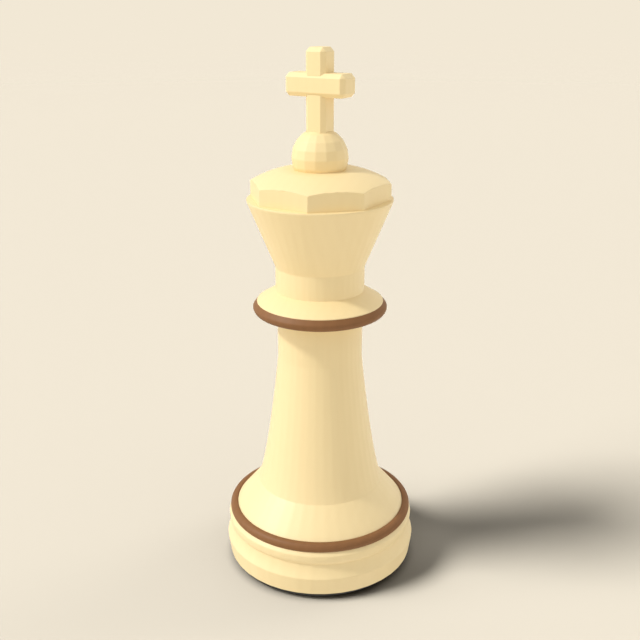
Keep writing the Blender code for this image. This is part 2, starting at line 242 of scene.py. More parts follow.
# Cross, whose mortise has chamfers that grow by a share of the glue line
POST_WIDTH = 0.00394
POST_BOTTOM = 0.08079
POST_TOP = 0.09539
BAR_LENGTH = 0.0117
BAR_THICKNESS = 0.00447
BAR_BOTTOM = 0.08742
BAR_TOP = 0.09129
CROSS_CHAMFER = 0.00071
CROSS_EASE = 0.00007
CROSS_EASE_ANGLE = math.radians(30.0)
MORTISE_CHAMFER_GAIN = 0.6

# Dowel hole through ball and post
DOWEL_HOLE = 0.0013
DOWEL_HOLE_SIDES = 40
DOWEL_HOLE_BOTTOM = 0.0683
DOWEL_HOLE_TOP = 0.08519
DRILL_OVERRUN = 0.001

# Wood's figure: growth rings about a pith beside the piece, fibres, a drift of colour and pores
PITH_PLACE = (0.031, 0.012, 0.0)
PITH_LEAN = (0.035, 0.02, 0.0)
GROWTH_RING_SCALE = 180.0
GROWTH_RING_WANDER = 2.2
GROWTH_RING_DETAIL = 3.0
GROWTH_RING_DETAIL_SCALE = 0.6
FIBRE_NOISE = {"stretch": (1.0, 1.0, 0.03), "size": 2600.0, "detail": 4.0, "roughness": 0.6}
DRIFT_NOISE = {"stretch": (1.0, 1.0, 0.35), "size": 90.0, "detail": 2.0, "roughness": 0.5}
PORE_NOISE = {"stretch": (1.0, 1.0, 0.06), "size": 5200.0, "detail": 2.0, "roughness": 0.5}
DRIFT_SHARE = 0.5

# Boxwood and walnut: the colours of early and late wood, and how strongly rings and fibres show
BOXWOOD = {
    "early": (0.86, 0.69, 0.373, 1.0),
    "late": (0.82, 0.64, 0.331, 1.0),
    "rings": 0.12,
    "fibres": 0.35,
    "roughness": 0.5,
}
WALNUT = {
    "early": (0.25, 0.111, 0.038, 1.0),
    "late": (0.20, 0.089, 0.03, 1.0),
    "rings": 0.2,
    "fibres": 0.5,
    "roughness": 0.6,
}

# Wood's surface: pores that vary its roughness, under a coat of lacquer that is a share of its gloss
TURNED_BOXWOOD_GLOSS = 0.5
PLANED_BOXWOOD_GLOSS = 0.3
WALNUT_GLOSS = 0.24
COAT_SHARE = 0.6
COAT_ROUGHNESS = 0.45
PORE_SHINE = 0.05
PORE_DULLNESS = 0.07
PORE_HEIGHT = 0.5
WOOD_BUMP_STRENGTH = 0.12
WOOD_BUMP_DEPTH = 0.00003

# Tool marks: how dense the lines round the axis are, and the bands in which they show
WOOD_TOOL_LINES = 900.0
STEEL_TOOL_LINES = 1500.0
TOOL_LINE_WANDER = 1.5
TOOL_LINE_DETAIL = 2.0
TOOL_LINE_DETAIL_SCALE = 0.15
TOOL_BAND_NOISE = {"stretch": (0.05, 0.05, 1.0), "size": 700.0, "detail": 2.0, "roughness": 0.5}

# Felt's matted fibres, near black: a real felt pad, its darkness set as painted shade for the gap under
# the foot
FELT_FIBRE_NOISE = {"stretch": (1.0, 1.0, 1.0), "size": 4200.0, "detail": 5.0, "roughness": 0.7}
FELT_CLUMP_NOISE = {"stretch": (1.0, 1.0, 1.0), "size": 700.0, "detail": 3.0, "roughness": 0.6}
FELT_DARK = (0.006, 0.006, 0.006, 1.0)
FELT_PALE = (0.034, 0.033, 0.030, 1.0)
FELT_ROUGHNESS = 0.95
FELT_SHEEN = 0.15
FELT_SHEEN_ROUGHNESS = 0.6
FELT_BUMP_STRENGTH = 0.6
FELT_BUMP_DEPTH = 0.00008

# Steel of the hidden weight
STEEL_BLOTCH_NOISE = {"stretch": (1.0, 1.0, 1.0), "size": 300.0, "detail": 3.0, "roughness": 0.5}
STEEL_DARK = (0.42, 0.42, 0.43, 1.0)
STEEL_PALE = (0.50, 0.50, 0.51, 1.0)
STEEL_SMOOTHEST = 0.35
STEEL_ROUGHEST = 0.55
STEEL_BUMP_STRENGTH = 0.3
STEEL_BUMP_DEPTH = 0.00005

# Mix node: the places of its two colours and of the mixed one among its sockets
MIX_FIRST_COLOUR = 6
MIX_SECOND_COLOUR = 7
MIX_RESULT = 2


def deselect_all():
    """Leaves edit mode and deselects everything."""
    if bpy.context.object is not None and bpy.context.object.mode != "OBJECT":
        bpy.ops.object.mode_set(mode="OBJECT")
    bpy.ops.object.select_all(action="DESELECT")


def start_piece(name):
    """Names the primitive just added and opens it in edit mode with everything selected."""
    piece = bpy.context.object
    piece.name = name
    piece.data.name = name
    bpy.ops.object.transform_apply(location=True, rotation=True, scale=True)
    bpy.ops.object.mode_set(mode="EDIT")
    bpy.ops.mesh.select_mode(type="EDGE")
    bpy.ops.mesh.select_all(action="SELECT")
    return piece


def pick_edges(test):
    """Selects the edges of the piece in edit mode for which test is true, and no others."""
    bpy.ops.mesh.select_all(action="DESELECT")
    shape = bmesh.from_edit_mesh(bpy.context.edit_object.data)
    for edge in shape.edges:
        edge.select_set(test(edge))
    bmesh.update_edit_mesh(bpy.context.edit_object.data)


def on_ring(edge, radius, height):
    """True for an edge that runs round the axis at this radius and height."""
    for vert in edge.verts:
        if abs(vert.co.z - height) > LEVEL_TOLERANCE:
            return False
        if abs(vert.co.xy.length - radius) > RADIUS_TOLERANCE * radius:
            return False
    return True


def ease_ring(radius, height, width, steps=EASE_STEPS):
    """Rounds off the turned edge at this radius and height."""
    pick_edges(lambda edge: on_ring(edge, radius, height))
    bpy.ops.mesh.bevel(offset=width, segments=steps, affect="EDGES")


def finish_piece(piece, keep_flats=True):
    """Closes edit mode, faces everything outwards and smooths all but the sharp edges.

    With keep_flats, the shading follows the larger faces, so that flats stay flat beside eased edges.
    """
    bpy.ops.mesh.select_all(action="SELECT")
    bpy.ops.mesh.normals_make_consistent(inside=False)
    bpy.ops.object.mode_set(mode="OBJECT")
    bpy.ops.object.shade_smooth_by_angle(angle=SMOOTH_ANGLE)
    if keep_flats:
        weighted = piece.modifiers.new("Even shading", "WEIGHTED_NORMAL")
        weighted.keep_sharp = True
        bpy.ops.object.modifier_apply(modifier=weighted.name)


def stand_for(piece, node, material):
    """Puts a finished piece in the place of its solid."""
    piece.data.materials.clear()
    piece.data.materials.append(material)
    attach(piece, "root")
    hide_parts(node)


def arc(centre, radius, start, end, steps):
    """Points of an arc in the (radius, height) plane, angles in degrees from outward."""
    points = []
    for step in range(steps + 1):
        angle = math.radians(start + (end - start) * step / steps)
        points.append((centre[0] + radius * math.cos(angle), centre[1] + radius * math.sin(angle)))
    return points


def swept_curve(corners, steps):
    """Points of a cubic curve in the (radius, height) plane, from its two ends and their handles."""
    points = []
    for step in range(steps + 1):
        done = step / steps
        left = 1 - done
        weights = (left ** 3, 3 * done * left ** 2, 3 * done * done * left, done ** 3)
        radius = sum(weight * corner[0] for weight, corner in zip(weights, corners))
        height = sum(weight * corner[1] for weight, corner in zip(weights, corners))
        points.append((radius, height))
    return points


def turn(name, profile, hollow=False, sides=TURNED_FLATS, rounded=True):
    """A turned piece, left open in edit mode: a ring of flats is extruded down its profile.

    A solid piece closes both ends. A hollow one is bridged from its last ring back to its first. Where
    corners are rounded, the bridge leaves part of that inner wall open, which the next piece hides.
    """
    deselect_all()
    radius, height = profile[0]
    bpy.ops.mesh.primitive_circle_add(
        vertices=sides, radius=radius, fill_type="NGON", location=(0.0, 0.0, height)
    )
    piece = start_piece(name)
    if rounded:
        bpy.ops.mesh.bevel(
            offset_type="PERCENT",
            offset_pct=FLAT_ROUNDING,
            segments=FLAT_CORNER_STEPS,
            affect="VERTICES",
        )
        bpy.ops.mesh.select_all(action="SELECT")
    if hollow:
        bpy.ops.mesh.delete(type="ONLY_FACE")
        bpy.ops.mesh.select_all(action="SELECT")
    first_ring = {vert.index for vert in bmesh.from_edit_mesh(piece.data).verts}
    for next_radius, next_height in profile[1:]:
        step = (0.0, 0.0, next_height - height)
        bpy.ops.mesh.extrude_edges_move(TRANSFORM_OT_translate={"value": step})
        grow = next_radius / radius
        bpy.ops.transform.resize(value=(grow, grow, 1.0), center_override=(0.0, 0.0, next_height))
        radius, height = next_radius, next_height
    if hollow:
        shape = bmesh.from_edit_mesh(piece.data)
        for edge in shape.edges:
            if edge.verts[0].index in first_ring and edge.verts[1].index in first_ring:
                edge.select_set(True)
        bmesh.update_edit_mesh(piece.data)
        bpy.ops.mesh.bridge_edge_loops()
    else:
        bpy.ops.mesh.edge_face_add()
    return piece


def cutter_box(size, centre):
    """A plain box to cut with."""
    deselect_all()
    bpy.ops.mesh.primitive_cube_add(size=1.0, location=centre, scale=size)
    bpy.ops.object.transform_apply(location=True, rotation=True, scale=True)
    return bpy.context.object


def dowel_drill(bottom):
    """A rod on the axis that cuts the dowel's hole, from this height up to the hole's end."""
    deselect_all()
    bpy.ops.mesh.primitive_cylinder_add(
        vertices=DOWEL_HOLE_SIDES,
        radius=DOWEL_HOLE,
        depth=DOWEL_HOLE_TOP - bottom,
        location=(0.0, 0.0, (bottom + DOWEL_HOLE_TOP) / 2.0),
    )
    bpy.ops.object.transform_apply(location=True, rotation=True, scale=True)
    return bpy.context.object


def cut_away(piece, cutter):
    """Cuts the cutter's shape out of the piece and removes the cutter."""
    deselect_all()
    piece.select_set(True)
    bpy.context.view_layer.objects.active = piece
    cut = piece.modifiers.new("Cut", "BOOLEAN")
    cut.operation = "DIFFERENCE"
    cut.object = cutter
    bpy.ops.object.modifier_apply(modifier=cut.name)
    bpy.data.objects.remove(cutter, do_unlink=True)


def new_group(name, inputs, outputs):
    """A shader node group with named sockets; gives the group, its input node and its output node."""
    group = bpy.data.node_groups.new(name, "ShaderNodeTree")
    for socket, kind in inputs:
        group.interface.new_socket(name=socket, in_out="INPUT", socket_type=kind)
    for socket, kind in outputs:
        group.interface.new_socket(name=socket, in_out="OUTPUT", socket_type=kind)
    entry = group.nodes.new("NodeGroupInput")
    exit_node = group.nodes.new("NodeGroupOutput")
    return group, entry, exit_node


def feed(tree, socket, value):
    """Gives a socket a plain value, or links another node's output to it."""
    if isinstance(value, bpy.types.NodeSocket):
        tree.links.new(value, socket)
    else:
        socket.default_value = value


def math_node(tree, operation, first, second):
    """A sum, product or the like of two values."""
    node = tree.nodes.new("ShaderNodeMath")
    node.operation = operation
    feed(tree, node.inputs[0], first)
    feed(tree, node.inputs[1], second)
    return node.outputs["Value"]


def mixed_colour(tree, share, first, second):
    """The first colour where share is 0, the second where it is 1."""
    node = tree.nodes.new("ShaderNodeMix")
    node.data_type = "RGBA"
    feed(tree, node.inputs["Factor"], share)
    feed(tree, node.inputs[MIX_FIRST_COLOUR], first)
    feed(tree, node.inputs[MIX_SECOND_COLOUR], second)
    return node.outputs[MIX_RESULT]


def spread(tree, value, low, high):
    """Maps a value from 0..1 to low..high."""
    node = tree.nodes.new("ShaderNodeMapRange")
    node.inputs["To Min"].default_value = low
    node.inputs["To Max"].default_value = high
    tree.links.new(value, node.inputs["Value"])
    return node.outputs["Result"]


def stretched_noise(tree, stretch, size, detail, roughness):
    """Noise on the piece's own coordinates, which are first scaled by stretch along X, Y and Z."""
    place = tree.nodes.new("ShaderNodeTexCoord")
    mapping = tree.nodes.new("ShaderNodeMapping")
    mapping.inputs["Scale"].default_value = stretch
    noise = tree.nodes.new("ShaderNodeTexNoise")
    noise.inputs["Scale"].default_value = size
    noise.inputs["Detail"].default_value = detail
    noise.inputs["Roughness"].default_value = roughness
    tree.links.new(place.outputs["Object"], mapping.inputs["Vector"])
    tree.links.new(mapping.outputs["Vector"], noise.inputs["Vector"])
    return noise.outputs["Fac"]


def make_wood_figure():
    """Growth rings about a pith beside the piece, long fibres up it, and a cloudy drift of colour."""
    inputs = [
        ("Early Wood", "NodeSocketColor"),
        ("Late Wood", "NodeSocketColor"),
        ("Rings", "NodeSocketFloat"),
        ("Fibres", "NodeSocketFloat"),
    ]
    outputs = [("Color", "NodeSocketColor"), ("Pores", "NodeSocketFloat")]
    group, entry, exit_node = new_group("wood_figure", inputs, outputs)

    place = group.nodes.new("ShaderNodeTexCoord")
    pith = group.nodes.new("ShaderNodeMapping")
    pith.inputs["Location"].default_value = PITH_PLACE
    pith.inputs["Rotation"].default_value = PITH_LEAN
    rings = group.nodes.new("ShaderNodeTexWave")
    rings.wave_type = "RINGS"
    rings.rings_direction = "Z"
    rings.inputs["Scale"].default_value = GROWTH_RING_SCALE
    rings.inputs["Distortion"].default_value = GROWTH_RING_WANDER
    rings.inputs["Detail"].default_value = GROWTH_RING_DETAIL
    rings.inputs["Detail Scale"].default_value = GROWTH_RING_DETAIL_SCALE
    group.links.new(place.outputs["Object"], pith.inputs["Vector"])
    group.links.new(pith.outputs["Vector"], rings.inputs["Vector"])

    fibres = stretched_noise(group, **FIBRE_NOISE)
    drift = stretched_noise(group, **DRIFT_NOISE)
    pores = stretched_noise(group, **PORE_NOISE)

    ring_part = math_node(group, "MULTIPLY", rings.outputs["Fac"], entry.outputs["Rings"])
    fibre_part = math_node(group, "MULTIPLY", fibres, entry.outputs["Fibres"])
    drift_part = math_node(group, "MULTIPLY", drift, DRIFT_SHARE)
    figure = math_node(group, "ADD", math_node(group, "ADD", ring_part, fibre_part), drift_part)
    colour = mixed_colour(group, figure, entry.outputs["Early Wood"], entry.outputs["Late Wood"])
    group.links.new(colour, exit_node.inputs["Color"])
    group.links.new(pores, exit_node.inputs["Pores"])
    return group


def make_tool_marks():
    """Fine lines left round the axis by the lathe tool, uneven along the piece."""
    inputs = [("Lines per Metre", "NodeSocketFloat")]
    outputs = [("Height", "NodeSocketFloat")]
    group, entry, exit_node = new_group("tool_marks", inputs, outputs)
    place = group.nodes.new("ShaderNodeTexCoord")
    lines = group.nodes.new("ShaderNodeTexWave")
    lines.wave_type = "BANDS"
    lines.bands_direction = "Z"
    lines.inputs["Distortion"].default_value = TOOL_LINE_WANDER
    lines.inputs["Detail"].default_value = TOOL_LINE_DETAIL
    lines.inputs["Detail Scale"].default_value = TOOL_LINE_DETAIL_SCALE
    group.links.new(place.outputs["Object"], lines.inputs["Vector"])
    group.links.new(entry.outputs["Lines per Metre"], lines.inputs["Scale"])
    bands = stretched_noise(group, **TOOL_BAND_NOISE)
    height = math_node(group, "MULTIPLY", lines.outputs["Fac"], bands)
    group.links.new(height, exit_node.inputs["Height"])
    return group


def new_material(name):
    """A new material; gives the material, its node tree and its shader."""
    material = bpy.data.materials.new(name)
    material.use_nodes = True
    return material, material.node_tree, material.node_tree.nodes["Principled BSDF"]


def place_group(tree, group, **values):
    """Places a node group in a material, with its own values for the group's inputs."""
    node = tree.nodes.new("ShaderNodeGroup")
    node.node_tree = group
    for socket, value in values.items():
        node.inputs[socket.replace("_", " ")].default_value = value
    return node


def bump(tree, shader, height, strength, depth):
    """Roughens a shader's surface by a height."""
    node = tree.nodes.new("ShaderNodeBump")
    node.inputs["Strength"].default_value = strength
    node.inputs["Distance"].default_value = depth
    tree.links.new(height, node.inputs["Height"])
    tree.links.new(node.outputs["Normal"], shader.inputs["Normal"])


def make_wood(name, figure, marks, early, late, rings, fibres, roughness, gloss, turned):
    """Satin-lacquered wood: its figure in the colour, its pores and tool marks in the surface."""
    material, tree, shader = new_material(name)
    wood = place_group(tree, figure, Early_Wood=early, Late_Wood=late, Rings=rings, Fibres=fibres)
    tree.links.new(wood.outputs["Color"], shader.inputs["Base Color"])
    polish = spread(tree, wood.outputs["Pores"], roughness - PORE_SHINE, roughness + PORE_DULLNESS)
    tree.links.new(polish, shader.inputs["Roughness"])
    height = math_node(tree, "MULTIPLY", wood.outputs["Pores"], PORE_HEIGHT)
    if turned:
        lathe = place_group(tree, marks, Lines_per_Metre=WOOD_TOOL_LINES)
        height = math_node(tree, "ADD", height, lathe.outputs["Height"])
    bump(tree, shader, height, WOOD_BUMP_STRENGTH, WOOD_BUMP_DEPTH)
    shader.inputs["Specular IOR Level"].default_value = gloss
    shader.inputs["Coat Weight"].default_value = COAT_SHARE * gloss
    shader.inputs["Coat Roughness"].default_value = COAT_ROUGHNESS
    return material


def make_felt():
    """Dense near-black felt: matted fibres with a dusty nap; the pad is real, and its darkness is
    painted shade for the gap under the foot.
    """
    material, tree, shader = new_material("dark_felt_and_painted_shade")
    fibres = stretched_noise(tree, **FELT_FIBRE_NOISE)
    clumps = stretched_noise(tree, **FELT_CLUMP_NOISE)
    nap = math_node(tree, "MULTIPLY", fibres, clumps)
    tree.links.new(mixed_colour(tree, nap, FELT_DARK, FELT_PALE), shader.inputs["Base Color"])
    shader.inputs["Roughness"].default_value = FELT_ROUGHNESS
    shader.inputs["Sheen Weight"].default_value = FELT_SHEEN
    shader.inputs["Sheen Roughness"].default_value = FELT_SHEEN_ROUGHNESS
    bump(tree, shader, fibres, FELT_BUMP_STRENGTH, FELT_BUMP_DEPTH)
    return material


def make_steel(marks):
    """Turned mild steel for the hidden weight."""
    material, tree, shader = new_material("turned_steel")
    lathe = place_group(tree, marks, Lines_per_Metre=STEEL_TOOL_LINES)
    blotches = stretched_noise(tree, **STEEL_BLOTCH_NOISE)
    tree.links.new(mixed_colour(tree, blotches, STEEL_DARK, STEEL_PALE), shader.inputs["Base Color"])
    polish = spread(tree, blotches, STEEL_SMOOTHEST, STEEL_ROUGHEST)
    tree.links.new(polish, shader.inputs["Roughness"])
    shader.inputs["Metallic"].default_value = 1.0
    bump(tree, shader, lathe.outputs["Height"], STEEL_BUMP_STRENGTH, STEEL_BUMP_DEPTH)
    return material


def make_felt_pad(felt):
    """A punched disc of felt with its cut edges slightly rounded."""
    profile = [(FELT_RADIUS, FELT_TOP), (FELT_RADIUS, 0.0)]
    pad = turn("felt_disc", profile, sides=RING_SIDES, rounded=False)
    ease_ring(FELT_RADIUS, FELT_TOP, FELT_EDGE, ROUND_STEPS)
    ease_ring(FELT_RADIUS, 0.0, FELT_EDGE, ROUND_STEPS)
    finish_piece(pad, keep_flats=False)
    stand_for(pad, "felt_pad", felt)


def make_base(wood):
    """The foot, with a bead and a groove, bored for the weight and socketed for the shoulder."""
    socket = SHOULDER_SPIGOT + FIT_GAP
    socket_floor = SHOULDER_SPIGOT_BOTTOM - END_GAP
    ring_lift = BASE_RING_MIDDLE[1] - BASE_TOP
    ring_foot = BASE_RING_MIDDLE[0] + math.sqrt(BASE_RING_SECTION ** 2 - ring_lift ** 2)
    profile = [
        (socket, BASE_TOP),
        (ring_foot, BASE_TOP),
        (BEAD_RADIUS, BEAD_EDGE),
        *BEAD_BELLY,
        *swept_curve(
            ((GROOVE_RADIUS, GROOVE_HEIGHT), *GROOVE_SWEEP_HANDLES, (BASE_RADIUS, FOOT_CREASE)),
            GROOVE_SWEEP_STEPS,
        ),
        (FOOT_RADIUS, FELT_TOP),
        (WEIGHT_BORE, FELT_TOP),
        (WEIGHT_BORE, socket_floor),
        (socket, socket_floor),
    ]
    base = turn("turned_base", profile, hollow=True)
    ease_ring(BEAD_RADIUS, BEAD_EDGE, SOFT_EASE)
    ease_ring(BASE_RADIUS, FOOT_CREASE, SOFT_EASE)
    ease_ring(FOOT_RADIUS, FELT_TOP, SOFT_EASE, ROUND_STEPS)
    finish_piece(base)
    stand_for(base, "base", wood)


def make_base_ring(wood):
    """A round ring, flat underneath where it lies on the base and inside round the shoulder."""
    middle, height = BASE_RING_MIDDLE
    inner = math.degrees(math.acos((BASE_RING_BORE - middle) / BASE_RING_SECTION))
    lower = -math.degrees(math.asin((height - BASE_TOP) / BASE_RING_SECTION))
    profile = arc(BASE_RING_MIDDLE, BASE_RING_SECTION, inner, lower, BASE_RING_STEPS)
    profile.append((BASE_RING_BORE, BASE_TOP))
    ring = turn("base_inlay_ring", profile, hollow=True, sides=RING_SIDES, rounded=False)
    finish_piece(ring, keep_flats=False)
    stand_for(ring, "base_ring", wood)


def make_shoulder(wood):
    """A cone over the weight, with a ring-shaped spigot below and a socket for the stem on top."""
    socket = STEM_TENON + FIT_GAP
    profile = [
        (socket, STEM_TENON_BOTTOM - END_GAP),
        (socket, SHOULDER_TOP),
        (STEM_FOOT_RADIUS, SHOULDER_TOP),
        (SHOULDER_RADIUS, SHOULDER_EDGE),
        (SHOULDER_RADIUS, BASE_TOP),
        (SHOULDER_SPIGOT, BASE_TOP),
        (SHOULDER_SPIGOT, SHOULDER_SPIGOT_BOTTOM),
        (WEIGHT_BORE, SHOULDER_SPIGOT_BOTTOM),
        (WEIGHT_BORE, SHOULDER_WEB_BOTTOM),
    ]
    shoulder = turn("turned_shoulder", profile)
    ease_ring(SHOULDER_RADIUS, SHOULDER_EDGE, SOFT_EASE)
    finish_piece(shoulder)
    stand_for(shoulder, "shoulder", wood)


def make_stem(wood):
    """A column with a flared foot and a tenon at each end."""
    flare = (
        (STEM_RADIUS, FLARE_TOP),
        FLARE_TOP_HANDLE,
        FLARE_FOOT_HANDLE,
        (STEM_FOOT_RADIUS, SHOULDER_TOP),
    )
    profile = [
        (COLLAR_TENON, CROWN_SOCKET_TOP - END_GAP),
        (COLLAR_TENON, STEM_TOP),
        (STEM_RADIUS, STEM_TOP),
        *swept_curve(flare, FLARE_STEPS),
        (STEM_TENON, SHOULDER_TOP),
        (STEM_TENON, STEM_TENON_BOTTOM),
    ]
    stem = turn("turned_stem", profile)
    finish_piece(stem)
    stand_for(stem, "stem", wood)


def make_collar(wood):
    """A disc with a conical top, a lip over its ring, and a bore for the stem's tenon."""
    bore = COLLAR_TENON + FIT_GAP
    spigot = COLLAR_RING_BORE - FIT_GAP
    profile = [
        (bore, COLLAR_TOP),
        (NECK_RADIUS, COLLAR_TOP),
        (COLLAR_LIP_RADIUS, COLLAR_LIP_TOP),
        (COLLAR_LIP_RADIUS, COLLAR_LIP),
        (spigot, COLLAR_LIP),
        (spigot, STEM_TOP),
        (bore, STEM_TOP),
    ]
    collar = turn("turned_collar", profile, hollow=True)
    ease_ring(COLLAR_LIP_RADIUS, COLLAR_LIP_TOP, FINE_EASE)
    finish_piece(collar)
    stand_for(collar, "collar", wood)


def make_collar_ring(wood):
    """A ring bevelled on top from the collar's lip to its edge, and rounded underneath."""
    profile = [
        (COLLAR_RING_BORE, COLLAR_LIP),
        (COLLAR_RING_EDGE, COLLAR_LIP),
        (COLLAR_RING_RADIUS, COLLAR_RING_BROW),
        (COLLAR_RING_RADIUS, COLLAR_RING_CHIN),
        *arc(
            COLLAR_RING_MIDDLE,
            COLLAR_RING_SECTION,
            COLLAR_RING_ROUND_START,
            COLLAR_RING_ROUND_END,
            COLLAR_RING_STEPS,
        ),
        (COLLAR_RING_BORE, STEM_TOP),
    ]
    ring = turn("collar_inlay_ring", profile, hollow=True, sides=RING_SIDES, rounded=False)
    ease_ring(COLLAR_RING_RADIUS, COLLAR_RING_BROW, SOFT_EASE, ROUND_STEPS)
    finish_piece(ring, keep_flats=False)
    stand_for(ring, "collar_ring", wood)


def make_crown(wood):
    """Neck and widening cup in one, socketed for the stem's tenon below and the cap above."""
    cap_socket = CAP_SPIGOT + FIT_GAP
    stem_socket = COLLAR_TENON + FIT_GAP
    profile = [
        (cap_socket, CAP_SPIGOT_BOTTOM - END_GAP),
        (cap_socket, RIM_TOP),
        (RIM_RADIUS, RIM_TOP),
        (RIM_RADIUS, RIM_TOP - RIM_EDGE),
        (NECK_RADIUS, NECK_TOP),
        (NECK_RADIUS, COLLAR_TOP),
        (stem_socket, COLLAR_TOP),
        (stem_socket, CROWN_SOCKET_TOP),
    ]
    crown = turn("turned_crown", profile)
    ease_ring(RIM_RADIUS, RIM_TOP, FINE_EASE)
    ease_ring(RIM_RADIUS, RIM_TOP - RIM_EDGE, FINE_EASE)
    ease_ring(NECK_RADIUS, NECK_TOP, SOFT_EASE)
    finish_piece(crown)
    stand_for(crown, "crown", wood)


def rough_ball(name, radius, bottom):
    """The ball's facets, cut level at the bottom and left open in edit mode."""
    deselect_all()
    bpy.ops.mesh.primitive_uv_sphere_add(
        segments=BALL_FLATS, ring_count=BALL_TIERS, radius=radius, location=(0.0, 0.0, BALL_CENTRE)
    )
    ball = start_piece(name)
    bpy.ops.mesh.bisect(
        plane_co=(0.0, 0.0, bottom), plane_no=(0.0, 0.0, -1.0), use_fill=True, clear_outer=True
    )
    return ball


def is_cap_flat(face, apothem):
    """True for a face that lies on one of the cap's planed flats."""
    upright = abs(face.normal.z) < UPRIGHT_TOLERANCE
    return upright and face.calc_center_median().xy.length > CAP_FLAT_SHARE * apothem


def is_cap_arris(edge, apothem):
    """True for an edge where one of the cap's flats meets the dome or the next flat."""
    if len(edge.link_faces) != 2 or edge.verts[0].co.z <= RIM_TOP + LEVEL_TOLERANCE:
        return False
    beside_flat = any(is_cap_flat(face, apothem) for face in edge.link_faces)
    return beside_flat and edge.calc_face_angle() > CAP_ARRIS_ANGLE


def make_crown_cap(wood):
    """A low turned dome, level on top and planed to flats at its sides, hollowed for the ball."""
    apothem = CAP_CORNER_RADIUS * math.cos(math.pi / CAP_SIDES)
    blank = CAP_CORNER_RADIUS + CAP_BLANK_EXCESS
    profile = [(DOWEL_HOLE, DOWEL_HOLE_BOTTOM), (DOWEL_HOLE, CAP_CROWN)]
    for step in range(CAP_DOME_STEPS + 1):
        radius = CAP_PLATEAU_RADIUS + (blank - CAP_PLATEAU_RADIUS) * step / CAP_DOME_STEPS
        share = (radius - CAP_PLATEAU_RADIUS) / (CAP_CORNER_RADIUS - CAP_PLATEAU_RADIUS)
        bulge = 4.0 * CAP_DOME_BULGE * share * (1.0 - share)
        profile.append((radius, CAP_CROWN - CAP_DOME_HEIGHT * share + bulge))
    profile += [(blank, RIM_TOP), (CAP_SPIGOT, RIM_TOP), (CAP_SPIGOT, CAP_SPIGOT_BOTTOM)]
    cap = turn("planed_cap", profile, sides=CAP_BLANK_SIDES, rounded=False)
    for side in range(CAP_SIDES):
        angle = math.tau * side / CAP_SIDES
        outward = (math.cos(angle), math.sin(angle), 0.0)
        bpy.ops.mesh.select_all(action="SELECT")
        bpy.ops.mesh.bisect(
            plane_co=(apothem * outward[0], apothem * outward[1], 0.0),
            plane_no=outward,
            use_fill=True,
            clear_outer=True,
        )
    ease_ring(CAP_PLATEAU_RADIUS, CAP_CROWN, CAP_PLATEAU_EASE, CAP_PLATEAU_STEPS)
    pick_edges(lambda edge: is_cap_arris(edge, apothem))
    bpy.ops.mesh.bevel(offset=FINE_EASE, segments=EASE_STEPS, affect="EDGES")
    cut_away(cap, rough_ball("ball_seat", BALL_RADIUS + GLUE_LINE, CAP_SEAT - GLUE_LINE))
    bpy.ops.object.mode_set(mode="EDIT")
    finish_piece(cap)
    stand_for(cap, "crown_cap", wood)


def make_finial_ball(wood):
    """A small ball of flat facets with soft edges, seated in the cap, mortised for the post."""
    ball = rough_ball("faceted_ball", BALL_RADIUS, CAP_SEAT)
    pick_edges(lambda edge: min(vert.co.z for vert in edge.verts) > CAP_SEAT + LEVEL_TOLERANCE)
    bpy.ops.mesh.bevel(
        offset_type="PERCENT", offset_pct=BALL_ROUNDING, segments=EASE_STEPS, affect="EDGES"
    )
    finish_piece(ball, keep_flats=False)
    width = POST_WIDTH + 2.0 * GLUE_LINE
    height = POST_TOP - POST_BOTTOM
    mortise = cutter_box((width, width, height), (0.0, 0.0, POST_BOTTOM + height / 2.0))
    bpy.ops.object.mode_set(mode="EDIT")
    pick_edges(lambda edge: abs(edge.verts[0].co.z - edge.verts[1].co.z) > LEVEL_TOLERANCE)
    chamfer = CROSS_CHAMFER + MORTISE_CHAMFER_GAIN * GLUE_LINE
    bpy.ops.mesh.bevel(offset=chamfer, segments=1, affect="EDGES")
    cut_away(ball, mortise)
    cut_away(ball, dowel_drill(DOWEL_HOLE_BOTTOM))
    bpy.ops.object.mode_set(mode="EDIT")
    finish_piece(ball)
    stand_for(ball, "finial_ball", wood)


def chamfered_box(name, size, centre, chamfer_test):
    """A box with flat chamfers on the edges that chamfer_test picks, and eased arrises."""
    deselect_all()
    bpy.ops.mesh.primitive_cube_add(size=1.0, location=centre, scale=size)
    piece = start_piece(name)
    pick_edges(chamfer_test)
    bpy.ops.mesh.bevel(offset=CROSS_CHAMFER, segments=1, affect="EDGES")
    bpy.ops.object.mode_set(mode="OBJECT")
    ease = piece.modifiers.new("Ease", "BEVEL")
    ease.width = CROSS_EASE
    ease.segments = EASE_STEPS
    ease.limit_method = "ANGLE"
    ease.angle_limit = CROSS_EASE_ANGLE
    bpy.ops.object.modifier_apply(modifier=ease.name)
    return piece


def keep_half(cutter, side):
    """Cuts a cutter down to its front half, side -1, or its back half, side 1."""
    deselect_all()
    cutter.select_set(True)
    bpy.context.view_layer.objects.active = cutter
    bpy.ops.object.mode_set(mode="EDIT")
    bpy.ops.mesh.select_all(action="SELECT")
    bpy.ops.mesh.bisect(
        plane_co=(0.0, 0.0, 0.0), plane_no=(0.0, -side, 0.0), use_fill=True, clear_outer=True
    )
    bpy.ops.object.mode_set(mode="OBJECT")
    return cutter


